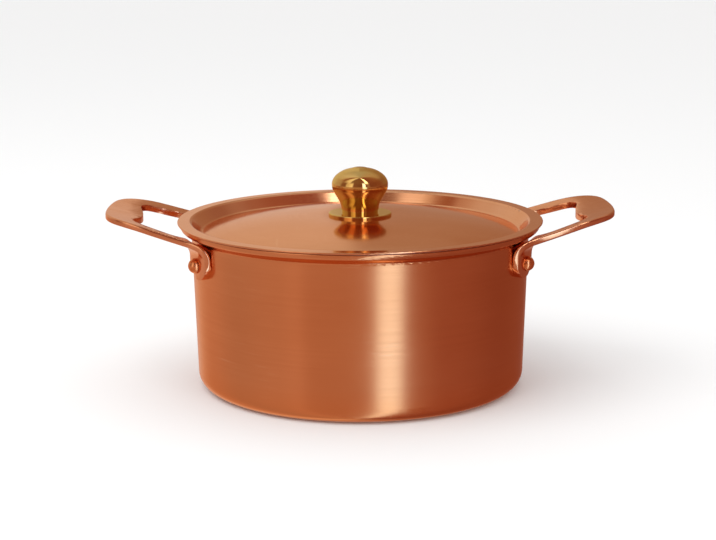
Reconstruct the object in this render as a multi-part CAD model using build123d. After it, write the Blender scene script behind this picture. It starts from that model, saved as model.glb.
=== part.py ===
from build123d import *
from math import asin, atan2, cos, degrees, hypot, pi, radians, sin, tan
import os

# Copper stockpot with two riveted loop handles and a lift-off lid with a brass knob.
# Millimetres, +Z up. The origin is the middle of the base, where the pot stands.
# The handles lie along X and the front is -Y. Radii are measured from the pot's axis.

# Pot body
wall_foot_radius = 118.9  # wall line carried down to the table
wall_top_radius = 122.3
wall_height = 111.8  # up to the root of the lip
base_corner_radius = 11.0
lip_flare = 8.0
lip_turn_rise = 4.4  # above the wall, where the flare turns upright
lip_rise = 7.8
lip_root_bend = 2.6
lip_outer_bend = 4.0
lip_edge_rounding = 0.8
copper_thickness = 2.0
lining_thickness = 0.5

# Lid
lid_overhang = 2.0  # past the lip
lid_rim_width = 9.7
lid_mouth_clearance = 4.4  # between the gutter's middle and the pot's mouth
lid_gutter_depth = 8.9
lid_dome_rise = 2.4  # knob seat above the rim
lid_rim_bend = 2.6
lid_gutter_bend = 3.0
lid_edge_rounding = 0.5
lid_copper_thickness = 1.2
lid_lining_thickness = 0.4
lid_lining_inset = 1.6
knob_seat_radius = 24.0

# Flange under the knob
flange_radius = 22.9
flange_thickness = 2.0
flange_edge_rounding = 0.8
flange_boss_radius = 13.0
flange_boss_height = 2.2

# Knob, radii and heights above its foot
knob_foot_radius = 13.6
knob_neck_radius = 15.7
knob_neck_height = 7.2
knob_shoulder_radius = 19.3
knob_shoulder_height = 13.4
knob_radius = 20.4
knob_widest_height = 18.4
knob_crown_height = 12.2  # above the widest place

# Knob screw and washer
screw_radius = 1.94
screw_depth_in_knob = 12.0
screw_hole_spare_depth = 1.0
screw_head_radius = 3.8
screw_head_height = 2.4
screw_slot_width = 1.0
screw_slot_depth = 1.1
screw_hole_clearance = 0.04
thread_clearance = 0.02
washer_radius = 6.0
washer_thickness = 1.0

# Handles: one plate bent up and out from the wall
handle_thickness = 4.4
handle_edge_rounding = 1.3
handle_length = 60.7  # past the wall
handle_slope = 19.3  # degrees, rising outwards
handle_pad_slope = 8.0
handle_root_drop = 0.1  # where the leg's upper face would meet the wall, below its top
handle_root_bend = 14.0
handle_pad_bend = 145.0
handle_pad_bend_inset = 11.0  # from the tip to the middle of that bend
handle_pad_length = 25.4
lug_drop = 24.6  # from the wall's top down to the lug's foot
lug_outer_corner = 14.0
lug_inner_corner = 14.0
lug_corner_share = 0.95  # most of the lug's straight height that this corner may take

# Rivets
rivet_spacing = 94.0  # between the two rivets of one handle
rivet_drop = 15.2  # below the wall's top
rivet_shank_radius = 3.0
rivet_head_radius = 5.4
rivet_head_height = 5.2
rivet_inner_head_radius = 5.6
rivet_inner_head_height = 1.8
rivet_seat_clearance = 0.02

# Worked out from the sizes above
rivet_reach = rivet_spacing / 2
wall_thickness = copper_thickness + lining_thickness
lip_radius = wall_top_radius + lip_flare
lip_height = wall_height + lip_rise
lid_thickness = lid_copper_thickness + lid_lining_thickness
lid_radius = lip_radius + lid_overhang
lid_top = lip_height + lid_thickness
lid_gutter_radius = wall_top_radius - wall_thickness - lid_mouth_clearance
knob_seat_height = lid_top + lid_dome_rise
flange_top = knob_seat_height + flange_thickness
knob_foot = flange_top + flange_boss_height
washer_top = knob_seat_height - lid_thickness
screw_head_top = washer_top - washer_thickness
handle_reach = wall_top_radius + handle_length
rivet_height = wall_height - rivet_drop
lug_foot = wall_height - lug_drop

# Half of the handle's outer edge, seen from above. Roots: distance outside the wall, then
# distance outside the rivets. Pad: distance in from the tip, then half width.
outline_roots = [(-26, 15.0), (-18, 17.2), (-12, 16.4), (-6, 13.8), (0, 11.8), (10, 10.0), (23, 8.0)]
outline_pad = [(27, 52.5), (17, 48.5), (9, 42.5), (3.5, 33.0), (1, 20.0)]
# Half of the finger gap's edge in the same way, ending at the middle of the pad's inner edge
gap_roots = [(-24, -11.8), (-1.5, -11.8), (2, -9.0), (6, -5.0), (11, -3.2), (20, -5.0)]
gap_pad = [(30, 39.0), (23.5, 35.0), (21.5, 30.0), (23.0, 18.0)]


def wall_radius(height):
    """Outer radius of the pot's wall at a height."""
    return wall_foot_radius + height / wall_height * (wall_top_radius - wall_foot_radius)


def offset_corner(before, here, after, distance):
    """Corner of the line that keeps a distance to the left of a broken line."""
    first = Vector(here[0] - before[0], here[1] - before[1]).normalized()
    second = Vector(after[0] - here[0], after[1] - here[1]).normalized()
    left_first = Vector(-first.Y, first.X)
    left_second = Vector(-second.Y, second.X)
    miter = (left_first + left_second).normalized()
    reach = distance / miter.dot(left_first)
    return here[0] + miter.X * reach, here[1] + miter.Y * reach


def offset_corners(points, distance):
    """Every corner of a broken line, moved to its left by a distance."""
    first, second = points[:2]
    last_but_one, last = points[-2:]
    start = (2 * first[0] - second[0], 2 * first[1] - second[1])
    end = (2 * last[0] - last_but_one[0], 2 * last[1] - last_but_one[1])
    padded = [start, *points, end]
    return [offset_corner(*padded[i:i + 3], distance) for i in range(len(points))]


def turns_left(before, here, after):
    """True where a broken line turns to its left."""
    across = (here[0] - before[0]) * (after[1] - here[1])
    along = (here[1] - before[1]) * (after[0] - here[0])
    return across > along


def bent_line(points, bends, distance):
    """A bent line in the XZ plane that keeps a distance to the left of another one."""
    corners = [(x, 0, z) for x, z in offset_corners(points, distance)]
    radii = []
    for i, bend in enumerate(bends):
        change = -distance if turns_left(*points[i:i + 3]) else distance
        radii.append(bend + change)
    return FilletPolyline(*corners, radius=radii)


def spun(*lines):
    """Solid spun round Z from a closed loop of lines in the XZ plane."""
    edges = [edge for line in lines for edge in line.edges()]
    return revolve(make_face(Wire(edges)), Axis.Z)


def spun_sheet(points, bends, near, far):
    """Bent sheet between two distances from a broken line, spun round Z."""
    one = bent_line(points, bends, near)
    other = bent_line(points, bends, far)
    return spun(one, Line(one @ 1, other @ 1), other, Line(other @ 0, one @ 0))


def disc(radius, bottom, top):
    return Pos(0, 0, bottom) * extrude(Circle(radius), top - bottom)


def rim_edge(solid, radius, height):
    """The round edges of a spun solid at one radius and height."""
    found = []
    for edge in solid.edges().filter_by(GeomType.CIRCLE):
        level = abs(edge.center(CenterOf.GEOMETRY).Z - height) < 0.001
        if level and abs(edge.radius - radius) < 0.001:
            found.append(edge)
    return found


def pot_line():
    """Outer face of the pot, from the middle of the base up to the lip."""
    points = [(0, 0), (wall_foot_radius, 0), (wall_top_radius, wall_height)]
    points += [(lip_radius, wall_height + lip_turn_rise), (lip_radius, lip_height)]
    return points, [base_corner_radius, lip_root_bend, lip_outer_bend]


def lid_line(start_radius):
    """Upper face of the lid, from a radius on its rim to its middle."""
    gutter = (lid_gutter_radius, lid_top - lid_gutter_depth)
    rise = knob_seat_height - gutter[1]
    run = lid_gutter_radius - knob_seat_radius
    half_turn = atan2(rise, run)
    tangent = hypot(rise, run) / 2 / cos(half_turn)
    dome_corner = (knob_seat_radius + tangent, knob_seat_height)
    dome_bend = (tangent - lid_gutter_bend) / tan(half_turn)
    points = [(start_radius, lid_top), (lid_radius - lid_rim_width, lid_top)]
    points += [gutter, dome_corner, (0, knob_seat_height)]
    return points, [lid_rim_bend, lid_gutter_bend, dome_bend]


def rivet_places():
    """Frames of the rivets on the wall's outer face, with Z pointing out of the wall."""
    draft = degrees(atan2(wall_top_radius - wall_foot_radius, wall_height))
    turn = degrees(asin(rivet_reach / wall_radius(rivet_height)))
    stand = Pos(wall_radius(rivet_height), 0, rivet_height) * Rot(0, 90 + draft, 0)
    return {
        "right_front": Rot(0, 0, -turn) * stand,
        "right_rear": Rot(0, 0, turn) * stand,
        "left_front": Rot(0, 0, 180 + turn) * stand,
        "left_rear": Rot(0, 0, 180 - turn) * stand,
    }


def rivet_holes():
    """Pins through every rivet hole, long enough for lug and wall."""
    length = handle_thickness + 2 * wall_thickness
    pin = Pos(0, 0, -2 * wall_thickness) * extrude(Circle(rivet_shank_radius), 2 * length)
    return [place * pin for place in rivet_places().values()]


def dome(radius, height, seat, up):
    """Round rivet head on a flat seat, rising along +Z or -Z."""
    ball = (radius ** 2 + height ** 2) / 2 / height
    half = atan2(radius, ball - height) / 2
    middle = (ball * sin(half), 0, seat + up * (height - ball + ball * cos(half)))
    crown = (0, 0, seat + up * height)
    arc = ThreePointArc((radius, 0, seat), middle, crown)
    return spun(arc, Line(crown, (0, 0, seat)), Line((0, 0, seat), (radius, 0, seat)))


def rivet():
    """One rivet: a domed outer head on the lug, a low head inside the pot."""
    outer_seat = handle_thickness + rivet_seat_clearance
    hollow = rivet_inner_head_radius ** 2 / 2 / (wall_foot_radius - wall_thickness)
    inner_seat = -wall_thickness - hollow - rivet_seat_clearance
    shank = disc(rivet_shank_radius, inner_seat, outer_seat)
    outer_head = dome(rivet_head_radius, rivet_head_height, outer_seat, 1)
    inner_head = dome(rivet_inner_head_radius, rivet_inner_head_height, inner_seat, -1)
    return shank + outer_head + inner_head


def copper_shell():
    shell = spun_sheet(*pot_line(), 0, copper_thickness)
    shell = fillet(rim_edge(shell, lip_radius, lip_height), lip_edge_rounding)
    return shell - rivet_holes()


def steel_lining():
    return spun_sheet(*pot_line(), copper_thickness, wall_thickness) - rivet_holes()


def handle_plate():
    """The handle's bent plate as a full ring round the pot."""
    wall_at_root = wall_height - handle_root_drop
    root = (wall_radius(wall_at_root), wall_at_root)
    pad_bend = handle_reach - handle_pad_bend_inset
    rise = (pad_bend - root[0]) * tan(radians(handle_slope))
    over = 2 * handle_pad_bend_inset
    end_rise = over * tan(radians(handle_pad_slope))
    points = [(wall_radius(lug_foot), lug_foot), root, (pad_bend, root[1] + rise)]
    points += [(pad_bend + over, root[1] + rise + end_rise)]
    return spun_sheet(points, [handle_root_bend, handle_pad_bend], 0, -handle_thickness)


def both_sides(roots, pad, tip):
    """Closed outline, seen from above, from its points on one side of the X axis."""
    root = max(wall_top_radius, wall_radius(lug_foot))
    half = [(root + out, rivet_reach + wide) for out, wide in roots]
    half += [(handle_reach - inset, wide) for inset, wide in pad]
    other = [(x, -y) for x, y in reversed(half)]
    edge = Spline(*half, (tip, 0), *other)
    return make_face(Wire([edge.edge(), Line(half[0], other[-1]).edge()]))


def foot_corners(plate):
    """The short edges at the lugs' feet, from the outermost inwards."""
    found = []
    for edge in plate.edges():
        low = edge.bounding_box().max.Z < lug_foot + handle_thickness / 2
        if low and edge.length < 2 * handle_thickness:
            found.append(edge)
    return sorted(found, key=lambda edge: -abs(edge.center().Y))


def lug_corner():
    """Radius of the lug's inner foot corner, kept within the straight part of the lug."""
    top = wall_height - handle_root_drop
    drop = top - lug_foot
    lean = atan2(wall_radius(top) - wall_radius(lug_foot), drop)
    turn = radians(90 - handle_slope) - lean
    straight = drop / cos(lean) - handle_root_bend * tan(turn / 2)
    return min(lug_inner_corner, lug_corner_share * straight)


def lug_outer_side():
    """How far a lug's outer side stands from its rivet's axis, across the lug."""
    middle = wall_radius(lug_foot) + handle_thickness / 2
    widest = rivet_reach + max(wide for out, wide in outline_roots)
    rivet_turn = asin(rivet_reach / wall_radius(rivet_height))
    return middle * sin(asin(widest / middle) - rivet_turn)


def lug_corner_cutters():
    """What the rounding takes off the outer foot corners of the right handle's lugs."""
    corner_x = rivet_height - lug_foot
    corner_y = lug_outer_side()
    spare = Pos(corner_x, corner_y) * Rectangle(2 * lug_outer_corner, 2 * lug_outer_corner)
    spare -= Pos(corner_x - lug_outer_corner, corner_y - lug_outer_corner) * Circle(lug_outer_corner)
    rear = Pos(0, 0, -handle_thickness) * extrude(spare, 4 * handle_thickness)
    front = mirror(rear, Plane.XZ)
    places = rivet_places()
    return [places["right_rear"] * rear, places["right_front"] * front]


def outer_rims(plate):
    """The long outer edges of the plate's two faces, where it stands off the wall."""
    found = []
    for edge in plate.edges().filter_by(GeomType.CIRCLE, reverse=True):
        middle = edge.center()
        outer = abs(middle.Y) > rivet_reach or middle.X > handle_reach - handle_pad_length / 2
        off_wall = hypot(middle.X, middle.Y) > wall_top_radius + handle_thickness / 2
        if outer and off_wall and edge.length > 2 * handle_thickness:
            found.append(edge)
    return found


def handle():
    """The right-hand handle, without its rivet holes."""
    outline = extrude(both_sides(outline_roots, outline_pad, handle_reach), 2 * lip_height)
    gap = both_sides(gap_roots, gap_pad, handle_reach - handle_pad_length)
    plate = handle_plate() & outline
    plate -= extrude(gap, 2 * lip_height)
    plate = fillet(foot_corners(plate)[-2:], lug_corner())
    plate = fillet(outer_rims(plate), handle_edge_rounding)
    return plate - lug_corner_cutters()


def lid_shell():
    shell = spun_sheet(*lid_line(lid_radius), 0, lid_copper_thickness)
    bottom = lid_top - lid_copper_thickness
    edges = rim_edge(shell, lid_radius, lid_top) + rim_edge(shell, lid_radius, bottom)
    shell = fillet(edges, lid_edge_rounding)
    return shell - screw_hole(screw_hole_clearance)


def lid_lining():
    points, bends = lid_line(lid_radius - lid_lining_inset)
    lining = spun_sheet(points, bends, lid_copper_thickness, lid_thickness)
    return lining - screw_hole(screw_hole_clearance)


def screw_hole(clearance):
    """Pin for the screw's hole through lid, washer, flange and knob."""
    end = knob_foot + screw_depth_in_knob + screw_hole_spare_depth
    return disc(screw_radius + clearance, screw_head_top, end)


def knob_flange():
    plate = disc(flange_radius, knob_seat_height, flange_top)
    plate = fillet(rim_edge(plate, flange_radius, flange_top), flange_edge_rounding)
    boss = disc(flange_boss_radius, knob_seat_height, knob_foot)
    return plate + boss - screw_hole(screw_hole_clearance)


def knob():
    """Turned knob: a waisted neck under a low mushroom head."""
    widest = knob_foot + knob_widest_height
    side = [(knob_foot_radius, 0, knob_foot)]
    side += [(knob_neck_radius, 0, knob_foot + knob_neck_height)]
    side += [(knob_shoulder_radius, 0, knob_foot + knob_shoulder_height)]
    side += [(knob_radius, 0, widest)]
    neck = Spline(*side, tangents=[(0, 0, 1), (0, 0, 1)])
    crown = []
    for step in range(6):
        angle = step * pi / 12
        crown.append((knob_radius * cos(angle), 0, widest + knob_crown_height * sin(angle)))
    crown.append((0, 0, widest + knob_crown_height))
    head = Spline(*crown, tangents=[(0, 0, 1), (-1, 0, 0)])
    axis = Line(head @ 1, (0, 0, knob_foot))
    foot = Line((0, 0, knob_foot), neck @ 0)
    return spun(neck, head, axis, foot) - screw_hole(thread_clearance)


def knob_screw():
    head_bottom = screw_head_top - screw_head_height
    head = disc(screw_head_radius, head_bottom, screw_head_top)
    head -= Pos(0, 0, head_bottom) * Box(3 * screw_head_radius, screw_slot_width, 2 * screw_slot_depth)
    return head + disc(screw_radius, screw_head_top, knob_foot + screw_depth_in_knob)


def knob_screw_washer():
    washer = disc(washer_radius, screw_head_top, washer_top)
    return washer - screw_hole(screw_hole_clearance)


def build():
    """Every piece by its name."""
    plain_handle = handle()
    holes = rivet_holes()
    parts = {
        "copper_shell": copper_shell(),
        "steel_lining": steel_lining(),
        "right_handle": plain_handle - holes,
        "left_handle": Rot(0, 0, 180) * plain_handle - holes,
        "lid_shell": lid_shell(),
        "lid_lining": lid_lining(),
        "knob_flange": knob_flange(),
        "knob": knob(),
        "knob_screw": knob_screw(),
        "knob_screw_washer": knob_screw_washer(),
    }
    one_rivet = rivet()
    for name, place in rivet_places().items():
        parts[name + "_rivet"] = place * one_rivet
    return parts


os.makedirs("parts", exist_ok=True)
for name, shape in build().items():
    export_step(shape, f"parts/{name}.step")
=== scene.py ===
import math

import bpy
from mathutils import Matrix, Vector

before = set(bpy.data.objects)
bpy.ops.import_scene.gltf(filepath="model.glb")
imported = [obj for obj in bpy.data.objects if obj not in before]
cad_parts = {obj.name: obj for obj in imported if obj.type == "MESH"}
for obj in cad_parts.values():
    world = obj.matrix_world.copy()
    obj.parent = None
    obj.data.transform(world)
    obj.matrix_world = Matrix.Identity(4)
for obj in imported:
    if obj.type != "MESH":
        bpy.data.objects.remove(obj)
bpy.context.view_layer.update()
scene = bpy.context.scene


# Picture

camera_distance = 1.2173
camera_height = 0.3376
camera_side_step = -0.00165
camera_pitch = 11.84
camera_turn = -1.0
camera_roll = -0.23
camera_lens = 85.42
camera_sensor = 36.0


def make_camera():
    data = bpy.data.cameras.new("camera")
    data.sensor_width = camera_sensor
    data.lens = camera_lens
    data.clip_start = 0.05
    data.clip_end = 60.0
    camera = bpy.data.objects.new("camera", data)
    scene.collection.objects.link(camera)
    turn = Matrix.Rotation(math.radians(camera_turn), 4, "Z")
    place = Matrix.Translation((camera_side_step, -camera_distance, camera_height))
    tilt = Matrix.Rotation(math.radians(90 - camera_pitch), 4, "X")
    roll = Matrix.Rotation(math.radians(camera_roll), 4, "Z")
    camera.matrix_world = turn @ place @ tilt @ roll
    scene.camera = camera


# Node helpers

class Nodes:
    """Short calls for one node tree."""

    def __init__(self, tree):
        self.tree = tree
        self.tree.nodes.clear()

    def add(self, kind, **settings):
        node = self.tree.nodes.new(kind)
        for name, value in settings.items():
            setattr(node, name, value)
        return node

    def join(self, source, target):
        self.tree.links.new(source, target)

    def feed(self, socket, value):
        if isinstance(value, bpy.types.NodeSocket):
            self.join(value, socket)
        else:
            socket.default_value = value

    def math(self, operation, first, second=0.0):
        node = self.add("ShaderNodeMath", operation=operation)
        self.feed(node.inputs[0], first)
        self.feed(node.inputs[1], second)
        return node.outputs[0]

    def point(self):
        return self.add("ShaderNodeTexCoord").outputs["Object"]

    def split(self, vector):
        node = self.add("ShaderNodeSeparateXYZ")
        self.join(vector, node.inputs[0])
        return node.outputs

    def merge(self, x, y, z):
        node = self.add("ShaderNodeCombineXYZ")
        for socket, value in zip(node.inputs, (x, y, z)):
            self.feed(socket, value)
        return node.outputs[0]

    def scaled(self, vector, factors):
        node = self.add("ShaderNodeVectorMath", operation="MULTIPLY")
        self.join(vector, node.inputs[0])
        node.inputs[1].default_value = factors
        return node.outputs[0]

    def noise(self, vector, detail=2.0, roughness=0.5, distortion=0.0):
        node = self.add("ShaderNodeTexNoise")
        self.join(vector, node.inputs["Vector"])
        node.inputs["Scale"].default_value = 1.0
        node.inputs["Detail"].default_value = detail
        node.inputs["Roughness"].default_value = roughness
        node.inputs["Distortion"].default_value = distortion
        return node.outputs[0]

    def span(self, value, low, high, out_low=0.0, out_high=1.0, smooth=False):
        node = self.add("ShaderNodeMapRange", clamp=True)
        if smooth:
            node.interpolation_type = "SMOOTHSTEP"
        self.feed(node.inputs["Value"], value)
        node.inputs["From Min"].default_value = low
        node.inputs["From Max"].default_value = high
        node.inputs["To Min"].default_value = out_low
        node.inputs["To Max"].default_value = out_high
        return node.outputs[0]

    def mix(self, factor, first, second):
        node = self.add("ShaderNodeMix", data_type="RGBA")
        self.feed(node.inputs["Factor"], factor)
        colours = [s for s in node.inputs if s.type == "RGBA"]
        self.feed(colours[0], rgba(first))
        self.feed(colours[1], rgba(second))
        return [s for s in node.outputs if s.type == "RGBA"][0]

    def ramp(self, factor, stops):
        node = self.add("ShaderNodeValToRGB")
        node.color_ramp.interpolation = "EASE"
        elements = node.color_ramp.elements
        while len(elements) > 1:
            elements.remove(elements[-1])
        elements[0].position = stops[0][0]
        elements[0].color = rgba(stops[0][1])
        for position, colour in stops[1:]:
            elements.new(position).color = rgba(colour)
        self.feed(node.inputs[0], factor)
        return node.outputs[0]

    def bump(self, height, strength, distance, normal=None):
        node = self.add("ShaderNodeBump")
        node.inputs["Strength"].default_value = strength
        node.inputs["Distance"].default_value = distance
        self.join(height, node.inputs["Height"])
        if normal is not None:
            self.join(normal, node.inputs["Normal"])
        return node.outputs[0]


def rgba(value):
    if isinstance(value, bpy.types.NodeSocket):
        return value
    return (*value, 1.0)


# Metals

def metal(name, build, edge_tint, anisotropy=0.0):
    """A metal whose build(nodes) gives its colour, roughness and normal.

    The edge tint is its colour at a glancing view."""
    material = bpy.data.materials.new(name)
    material.use_nodes = True
    nodes = Nodes(material.node_tree)
    shader = nodes.add("ShaderNodeBsdfPrincipled")
    output = nodes.add("ShaderNodeOutputMaterial")
    nodes.join(shader.outputs[0], output.inputs["Surface"])
    shader.inputs["Metallic"].default_value = 1.0
    shader.inputs["Specular Tint"].default_value = rgba(edge_tint)
    colour, roughness, normal = build(nodes)
    nodes.join(colour, shader.inputs["Base Color"])
    nodes.join(roughness, shader.inputs["Roughness"])
    nodes.join(normal, shader.inputs["Normal"])
    if anisotropy:
        shader.inputs["Anisotropic"].default_value = anisotropy
        tangent = nodes.add("ShaderNodeTangent", direction_type="RADIAL", axis="Z")
        nodes.join(tangent.outputs[0], shader.inputs["Tangent"])
    return material


def ring_radius(nodes, point):
    x, y, z = nodes.split(point)
    squares = nodes.math("ADD", nodes.math("MULTIPLY", x, x), nodes.math("MULTIPLY", y, y))
    return nodes.math("SQRT", squares)


def ring_grain(nodes, x, y, across, along_scale, across_scale):
    """A place in noise space that is long round the axis and very short across the rings."""
    return nodes.merge(nodes.math("MULTIPLY", x, along_scale),
                       nodes.math("MULTIPLY", y, along_scale),
                       nodes.math("MULTIPLY", across, across_scale))


def wall_copper(nodes):
    """Copper brushed round and round: long hairlines and faint cloudy patches.

    It is warmer in a band above the base, a painted reflection of the floor, and darker where it
    meets the table, a painted shade."""
    deep, light = (0.76, 0.330, 0.150), (0.82, 0.385, 0.190)
    shade, hairline = (0.70, 0.285, 0.122), (0.90, 0.47, 0.26)
    # the first two colours here are a painted floor reflection and painted shade at the foot; the
    # last is scratches
    painted_floor_reflection, stain_and_shade, scratched = (0.80, 0.300, 0.105), (0.40, 0.150, 0.070), (0.93, 0.58, 0.38)
    # height band of the painted floor reflection
    reflection_band_top, reflection_band_full = 0.030, 0.006
    # height band of the painted shade at the foot
    foot_shade_top, foot_shade_full = 0.0035, 0.0004
    point = nodes.point()
    height = nodes.split(point)[2]
    fine = nodes.noise(nodes.scaled(point, (9, 9, 3400)), detail=2)
    coarse = nodes.noise(nodes.scaled(point, (5, 5, 620)), detail=3)
    cloud = nodes.noise(nodes.scaled(point, (7, 7, 16)), detail=3, roughness=0.6)
    scuff = nodes.noise(nodes.scaled(point, (38, 38, 1500)), detail=1)
    scuff = nodes.span(scuff, 0.66, 0.74)
    patch = nodes.noise(nodes.scaled(point, (16, 16, 30)), detail=1)
    scuff = nodes.math("MULTIPLY", scuff, nodes.span(patch, 0.52, 0.66))
    colour = nodes.mix(nodes.span(cloud, 0.35, 0.68), deep, light)
    colour = nodes.mix(nodes.span(coarse, 0.3, 0.7, 0.0, 0.20), colour, shade)
    colour = nodes.mix(nodes.span(fine, 0.35, 0.7, 0.0, 0.16), colour, hairline)
    # painted reflection of the floor: a warmer band low on the wall
    low = nodes.span(height, reflection_band_top, reflection_band_full, 0.0, 0.45, smooth=True)
    colour = nodes.mix(low, colour, painted_floor_reflection)
    # painted shade where the wall meets the table
    foot_shade = nodes.span(height, foot_shade_top, foot_shade_full, 0.0, 0.6, smooth=True)
    colour = nodes.mix(foot_shade, colour, stain_and_shade)
    colour = nodes.mix(nodes.math("MULTIPLY", scuff, 0.35), colour, scratched)
    rough = nodes.span(coarse, 0.25, 0.75, 0.145, 0.165)
    rough = nodes.math("ADD", rough, nodes.span(cloud, 0.3, 0.7, -0.01, 0.015))
    rough = nodes.math("ADD", rough, nodes.math("MULTIPLY", scuff, 0.06))
    lines = nodes.math("ADD", nodes.math("MULTIPLY", coarse, 0.7),
                       nodes.math("MULTIPLY", fine, 0.3))
    normal = nodes.bump(lines, 0.035, 0.0004)
    normal = nodes.bump(scuff, 0.12, 0.0001, normal)
    return colour, rough, normal


def lid_copper(nodes):
    """Polished copper with the fine rings of its spinning and a few soft wipe marks."""
    deep, light = (0.83, 0.42, 0.225), (0.87, 0.46, 0.265)
    shade, scratched = (0.78, 0.35, 0.175), (0.93, 0.60, 0.40)
    point = nodes.point()
    x, y, z = nodes.split(point)
    rings = nodes.noise(ring_grain(nodes, x, y, ring_radius(nodes, point), 6, 1500), detail=3)
    smear = nodes.noise(nodes.scaled(point, (11, 26, 11)), detail=3, distortion=0.8)
    scratch = nodes.noise(nodes.scaled(point, (520, 22, 60)), detail=1)
    scratch = nodes.span(scratch, 0.68, 0.76)
    colour = nodes.mix(nodes.span(smear, 0.35, 0.7), deep, light)
    colour = nodes.mix(nodes.span(rings, 0.3, 0.7, 0.0, 0.25), colour, shade)
    colour = nodes.mix(nodes.math("MULTIPLY", scratch, 0.2), colour, scratched)
    rough = nodes.span(smear, 0.3, 0.75, 0.10, 0.17)
    rough = nodes.math("ADD", rough, nodes.span(rings, 0.3, 0.7, -0.015, 0.02))
    normal = nodes.bump(rings, 0.05, 0.0002)
    normal = nodes.bump(smear, 0.03, 0.004, normal)
    return colour, rough, normal


def cast_copper(nodes):
    """Cast copper, filed and polished: slow ripples, fine scratches, darker in the pores."""
    light, deep = (0.84, 0.42, 0.240), (0.76, 0.335, 0.165)
    scratched, pores = (0.92, 0.56, 0.38), (0.52, 0.20, 0.095)
    point = nodes.point()
    ripple = nodes.noise(nodes.scaled(point, (60, 60, 60)), detail=2)
    grain = nodes.noise(nodes.scaled(point, (900, 900, 900)), detail=3)
    scratch = nodes.noise(nodes.scaled(point, (60, 900, 300)), detail=2)
    tarnish = nodes.noise(nodes.scaled(point, (26, 26, 26)), detail=4, roughness=0.65)
    colour = nodes.mix(nodes.span(tarnish, 0.38, 0.68), light, deep)
    colour = nodes.mix(nodes.span(scratch, 0.55, 0.75, 0.0, 0.25), colour, scratched)
    colour = nodes.mix(nodes.span(grain, 0.62, 0.8, 0.0, 0.5), colour, pores)
    rough = nodes.span(tarnish, 0.3, 0.75, 0.11, 0.20)
    rough = nodes.math("ADD", rough, nodes.span(scratch, 0.4, 0.75, -0.01, 0.04))
    normal = nodes.bump(ripple, 0.10, 0.003)
    normal = nodes.bump(scratch, 0.05, 0.0002, normal)
    normal = nodes.bump(grain, 0.04, 0.0002, normal)
    return colour, rough, normal


def rivet_copper(nodes):
    """Peened copper: faint hammer flats and a little dark in the low spots."""
    deep, light, pores = (0.78, 0.28, 0.105), (0.90, 0.40, 0.19), (0.50, 0.18, 0.085)
    point = nodes.point()
    dents = nodes.noise(nodes.scaled(point, (420, 420, 420)), detail=1)
    grain = nodes.noise(nodes.scaled(point, (1600, 1600, 1600)), detail=2)
    colour = nodes.mix(nodes.span(dents, 0.35, 0.65), deep, light)
    colour = nodes.mix(nodes.span(grain, 0.6, 0.8, 0.0, 0.4), colour, pores)
    rough = nodes.span(dents, 0.3, 0.7, 0.30, 0.20)
    normal = nodes.bump(dents, 0.12, 0.0008)
    normal = nodes.bump(grain, 0.05, 0.0002, normal)
    return colour, rough, normal


def brass(nodes):
    """Turned and polished brass: tool rings and fine scratches, with painted shade darkening the
    neck.
    """
    light, deep = (0.76, 0.51, 0.180), (0.70, 0.43, 0.130)
    # the first colour is the painted shade on the neck
    painted_neck_shade, turned = (0.62, 0.33, 0.075), (0.88, 0.66, 0.30)
    neck_height = 0.1330
    point = nodes.point()
    z = nodes.split(point)[2]
    rings = nodes.noise(nodes.scaled(point, (14, 14, 2600)), detail=2)
    wipe = nodes.noise(nodes.scaled(point, (70, 70, 110)), detail=3, roughness=0.6)
    fine = nodes.noise(nodes.scaled(point, (500, 160, 900)), detail=2)
    # painted shade: a darker band round the neck
    neck_shade = nodes.math("ABSOLUTE", nodes.math("SUBTRACT", z, neck_height))
    neck_shade = nodes.span(neck_shade, 0.007, 0.001, 0.0, 0.35, smooth=True)
    colour = nodes.mix(nodes.span(wipe, 0.35, 0.7), light, deep)
    colour = nodes.mix(neck_shade, colour, painted_neck_shade)
    colour = nodes.mix(nodes.span(rings, 0.5, 0.75, 0.0, 0.25), colour, turned)
    rough = nodes.span(wipe, 0.3, 0.75, 0.05, 0.12)
    rough = nodes.math("ADD", rough, nodes.span(fine, 0.5, 0.8, 0.0, 0.05))
    normal = nodes.bump(rings, 0.05, 0.0002)
    normal = nodes.bump(wipe, 0.04, 0.001, normal)
    return colour, rough, normal


def lining_steel(nodes):
    """Satin lining: rings of brushing with slight staining, and painted shade, dark copper-brown,
    on the edge where it wraps the lip.
    """
    dark, light = (0.58, 0.57, 0.555), (0.70, 0.695, 0.68)
    # a real stain colour and the colour of the painted shade at the lip
    stain_and_shade, painted_lip_shade = (0.52, 0.48, 0.42), (0.30, 0.13, 0.070)
    lip_inner, lip_outer = 0.1245, 0.1265
    point = nodes.point()
    radius = ring_radius(nodes, point)
    x, y, z = nodes.split(point)
    rings = nodes.noise(ring_grain(nodes, x, y, nodes.math("ADD", radius, z), 7, 1900), detail=3)
    stain = nodes.noise(nodes.scaled(point, (24, 24, 24)), detail=4, roughness=0.6)
    colour = nodes.mix(nodes.span(rings, 0.3, 0.7), dark, light)
    colour = nodes.mix(nodes.span(stain, 0.55, 0.8, 0.0, 0.3), colour, stain_and_shade)
    # painted shade: the edge at the lip is darkened where the lid rim meets the pot
    lip_shade = nodes.span(radius, lip_inner, lip_outer, 0.0, 0.85)
    colour = nodes.mix(lip_shade, colour, painted_lip_shade)
    rough = nodes.span(rings, 0.25, 0.75, 0.26, 0.40)
    rough = nodes.math("ADD", rough, nodes.span(stain, 0.5, 0.8, 0.0, 0.08))
    normal = nodes.bump(rings, 0.12, 0.0003)
    return colour, rough, normal


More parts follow.
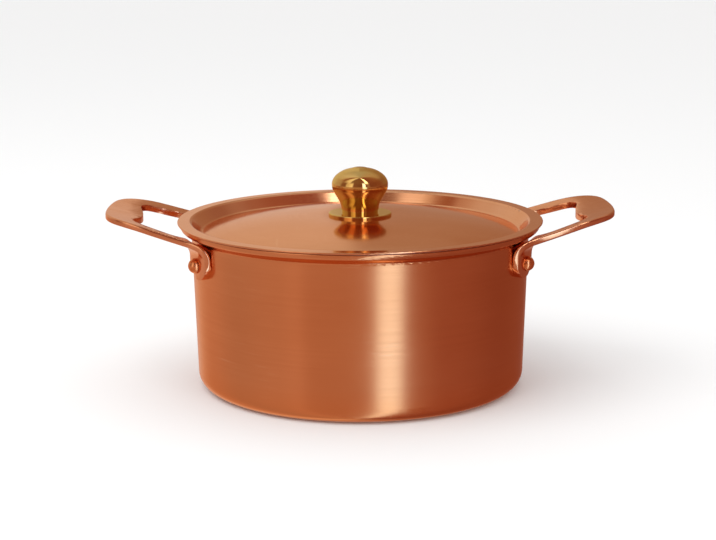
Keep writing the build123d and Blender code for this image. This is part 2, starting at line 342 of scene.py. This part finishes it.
def fastener_steel(nodes):
    """Plain machined steel, faintly scratched."""
    dark, light = (0.46, 0.455, 0.45), (0.62, 0.615, 0.60)
    point = nodes.point()
    grain = nodes.noise(nodes.scaled(point, (700, 700, 700)), detail=2)
    scratch = nodes.noise(nodes.scaled(point, (120, 2200, 500)), detail=2)
    colour = nodes.mix(nodes.span(grain, 0.3, 0.7), dark, light)
    rough = nodes.span(scratch, 0.3, 0.75, 0.22, 0.42)
    normal = nodes.bump(scratch, 0.10, 0.0002)
    return colour, rough, normal


copper_edge = (0.96, 0.74, 0.60)
brass_edge = (0.94, 0.82, 0.56)
steel_edge = (0.95, 0.95, 0.95)

metals = {
    "copper_shell": metal("copper_wall", wall_copper, copper_edge, 0.85),
    "lining": metal("lining", lining_steel, steel_edge, 0.6),
    "lid_shell": metal("copper_lid", lid_copper, copper_edge, 0.3),
    "handle": metal("copper_cast", cast_copper, copper_edge),
    "rivet": metal("copper_rivet", rivet_copper, copper_edge),
    "knob": metal("brass", brass, brass_edge),
    "screw": metal("steel_fastener", fastener_steel, steel_edge),
}
looks = {
    "copper_shell": "copper_shell",
    "steel_lining": "lining",
    "lid_lining": "lining",
    "lid_shell": "lid_shell",
    "right_handle": "handle",
    "left_handle": "handle",
    "knob": "knob",
    "knob_flange": "knob",
    "knob_screw": "screw",
    "knob_screw_washer": "screw",
}


def dress():
    for name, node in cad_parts.items():
        node.data.materials.clear()
        node.data.materials.append(metals[looks.get(name, "rivet")])


handle_edge = 0.0007
handle_edge_angle = 40
weld_distance = 0.000002


def soften(name):
    """Rounds the sharp edges of a filed casting."""
    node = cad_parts[name]
    weld = node.modifiers.new("weld", "WELD")
    weld.merge_threshold = weld_distance
    bevel = node.modifiers.new("soften", "BEVEL")
    bevel.width = handle_edge
    bevel.segments = 3
    bevel.limit_method = "ANGLE"
    bevel.angle_limit = math.radians(handle_edge_angle)
    bevel.harden_normals = True


# Studio

floor_reach = 25.0
floor_drop = 0.0002
floor_white = (0.93, 0.93, 0.93)
studio_white = (0.98, 0.98, 0.98)
table_top, room_bottom = -0.12, 0.06
room_top, above_bottom = 0.45, 0.8


def make_floor():
    mesh = bpy.data.meshes.new("floor")
    turns = ((-1, -1), (1, -1), (1, 1), (-1, 1))
    corners = [(side * floor_reach, end * floor_reach, 0) for side, end in turns]
    mesh.from_pydata(corners, [], [(0, 1, 2, 3)])
    floor = bpy.data.objects.new("floor", mesh)
    scene.collection.objects.link(floor)
    floor.location.z = -floor_drop
    material = bpy.data.materials.new("floor")
    material.use_nodes = True
    shader = material.node_tree.nodes["Principled BSDF"]
    shader.inputs["Base Color"].default_value = rgba(floor_white)
    shader.inputs["Roughness"].default_value = 0.8
    shader.inputs["Specular IOR Level"].default_value = 0.1
    mesh.materials.append(material)
    floor.visible_glossy = False


def around(nodes, turn, stops):
    """A colour by compass direction: 0 faces the viewer, 90 is the viewer's right."""
    ordered = sorted(((degrees + 180) / 360, colour) for degrees, colour in stops)
    return nodes.ramp(turn, ordered)


def make_world():
    """What the metal reflects: the table, the room and the space above, each by compass direction.

    Everything else is lit evenly."""
    world = bpy.data.worlds.new("studio")
    scene.world = world
    world.use_nodes = True
    nodes = Nodes(world.node_tree)
    direction = nodes.add("ShaderNodeTexCoord").outputs["Generated"]
    x, y, z = nodes.split(direction)
    turn = nodes.math("ARCTAN2", x, nodes.math("MULTIPLY", y, -1))
    turn = nodes.span(turn, -math.pi, math.pi)
    table = around(nodes, turn, [
        (-180, (0.62, 0.42, 0.36)), (-160, (0.90, 0.72, 0.62)), (-128, (0.66, 0.41, 0.32)),
        (-95, (0.55, 0.35, 0.27)), (-60, (0.60, 0.37, 0.28)), (-43, (0.67, 0.41, 0.31)),
        (-38, (0.56, 0.32, 0.23)), (0, (0.54, 0.30, 0.21)), (8, (0.54, 0.31, 0.22)),
        (13, (1.46, 1.92, 2.34)), (25, (1.46, 1.92, 2.34)), (29, (0.46, 0.22, 0.15)),
        (60, (0.37, 0.145, 0.10)), (110, (0.30, 0.108, 0.075)), (150, (0.32, 0.13, 0.10)),
        (180, (0.62, 0.42, 0.36)),
    ])
    room = around(nodes, turn, [
        (-180, (0.74, 0.68, 0.62)), (-150, (0.74, 0.69, 0.64)), (-95, (0.56, 0.42, 0.34)),
        (-80, (0.30, 0.14, 0.09)), (-66, (0.28, 0.12, 0.08)), (-56, (0.90, 0.76, 0.62)),
        (-34, (1.25, 1.08, 0.92)), (-28, (0.30, 0.13, 0.09)), (0, (0.24, 0.10, 0.06)),
        (9, (0.26, 0.10, 0.07)), (12, (2.4, 2.9, 3.8)), (20, (2.4, 2.9, 3.8)),
        (24, (0.26, 0.08, 0.05)), (34, (0.42, 0.26, 0.20)), (44, (0.26, 0.08, 0.05)),
        (90, (0.30, 0.10, 0.06)), (130, (0.34, 0.18, 0.13)), (160, (0.40, 0.26, 0.19)),
        (176, (0.46, 0.34, 0.26)), (179, (0.46, 0.34, 0.26)), (180, (0.60, 0.51, 0.44)),
    ])
    above = around(nodes, turn, [
        (-180, (0.55, 0.53, 0.50)), (-124, (0.78, 0.70, 0.62)), (-104, (0.58, 0.40, 0.31)),
        (-96, (0.34, 0.13, 0.065)), (-88, (0.38, 0.17, 0.09)), (-78, (0.75, 0.60, 0.47)),
        (-68, (1.10, 0.97, 0.82)), (-53, (1.14, 1.00, 0.86)), (-45, (0.28, 0.15, 0.10)),
        (0, (0.28, 0.13, 0.08)), (22, (0.28, 0.11, 0.07)), (26, (3.60, 3.50, 3.30)),
        (36, (3.60, 3.50, 3.30)), (40, (0.27, 0.095, 0.06)), (56, (0.30, 0.10, 0.065)),
        (92, (0.36, 0.145, 0.09)), (108, (0.42, 0.22, 0.155)),
        (126, (0.60, 0.46, 0.38)), (180, (0.55, 0.53, 0.50)),
    ])
    lower = nodes.mix(nodes.span(z, table_top, room_bottom, smooth=True), table, room)
    seen = nodes.mix(nodes.span(z, room_top, above_bottom, smooth=True), lower, above)
    rays = nodes.add("ShaderNodeLightPath")
    shown = nodes.mix(rays.outputs["Is Glossy Ray"], studio_white, seen)
    back = nodes.add("ShaderNodeBackground")
    nodes.join(shown, back.inputs["Color"])
    output = nodes.add("ShaderNodeOutputWorld")
    nodes.join(back.outputs[0], output.inputs["Surface"])


def soft_box(name, place, aim, size, power):
    data = bpy.data.lights.new(name, "AREA")
    data.shape = "RECTANGLE"
    data.size, data.size_y = size
    data.energy = power
    box = bpy.data.objects.new(name, data)
    box.location = place
    box.rotation_euler = (Vector(aim) - Vector(place)).to_track_quat("-Z", "Y").to_euler()
    box.visible_camera = False
    box.visible_glossy = False
    scene.collection.objects.link(box)


scene.view_settings.view_transform = "Standard"
scene.view_settings.look = "None"
make_camera()
make_world()
soft_box("key", place=(-0.9, -0.7, 1.6), aim=(0, 0, 0.05), size=(1.4, 1.4), power=12)
make_floor()
dress()
for side in ("right_handle", "left_handle"):
    soften(side)
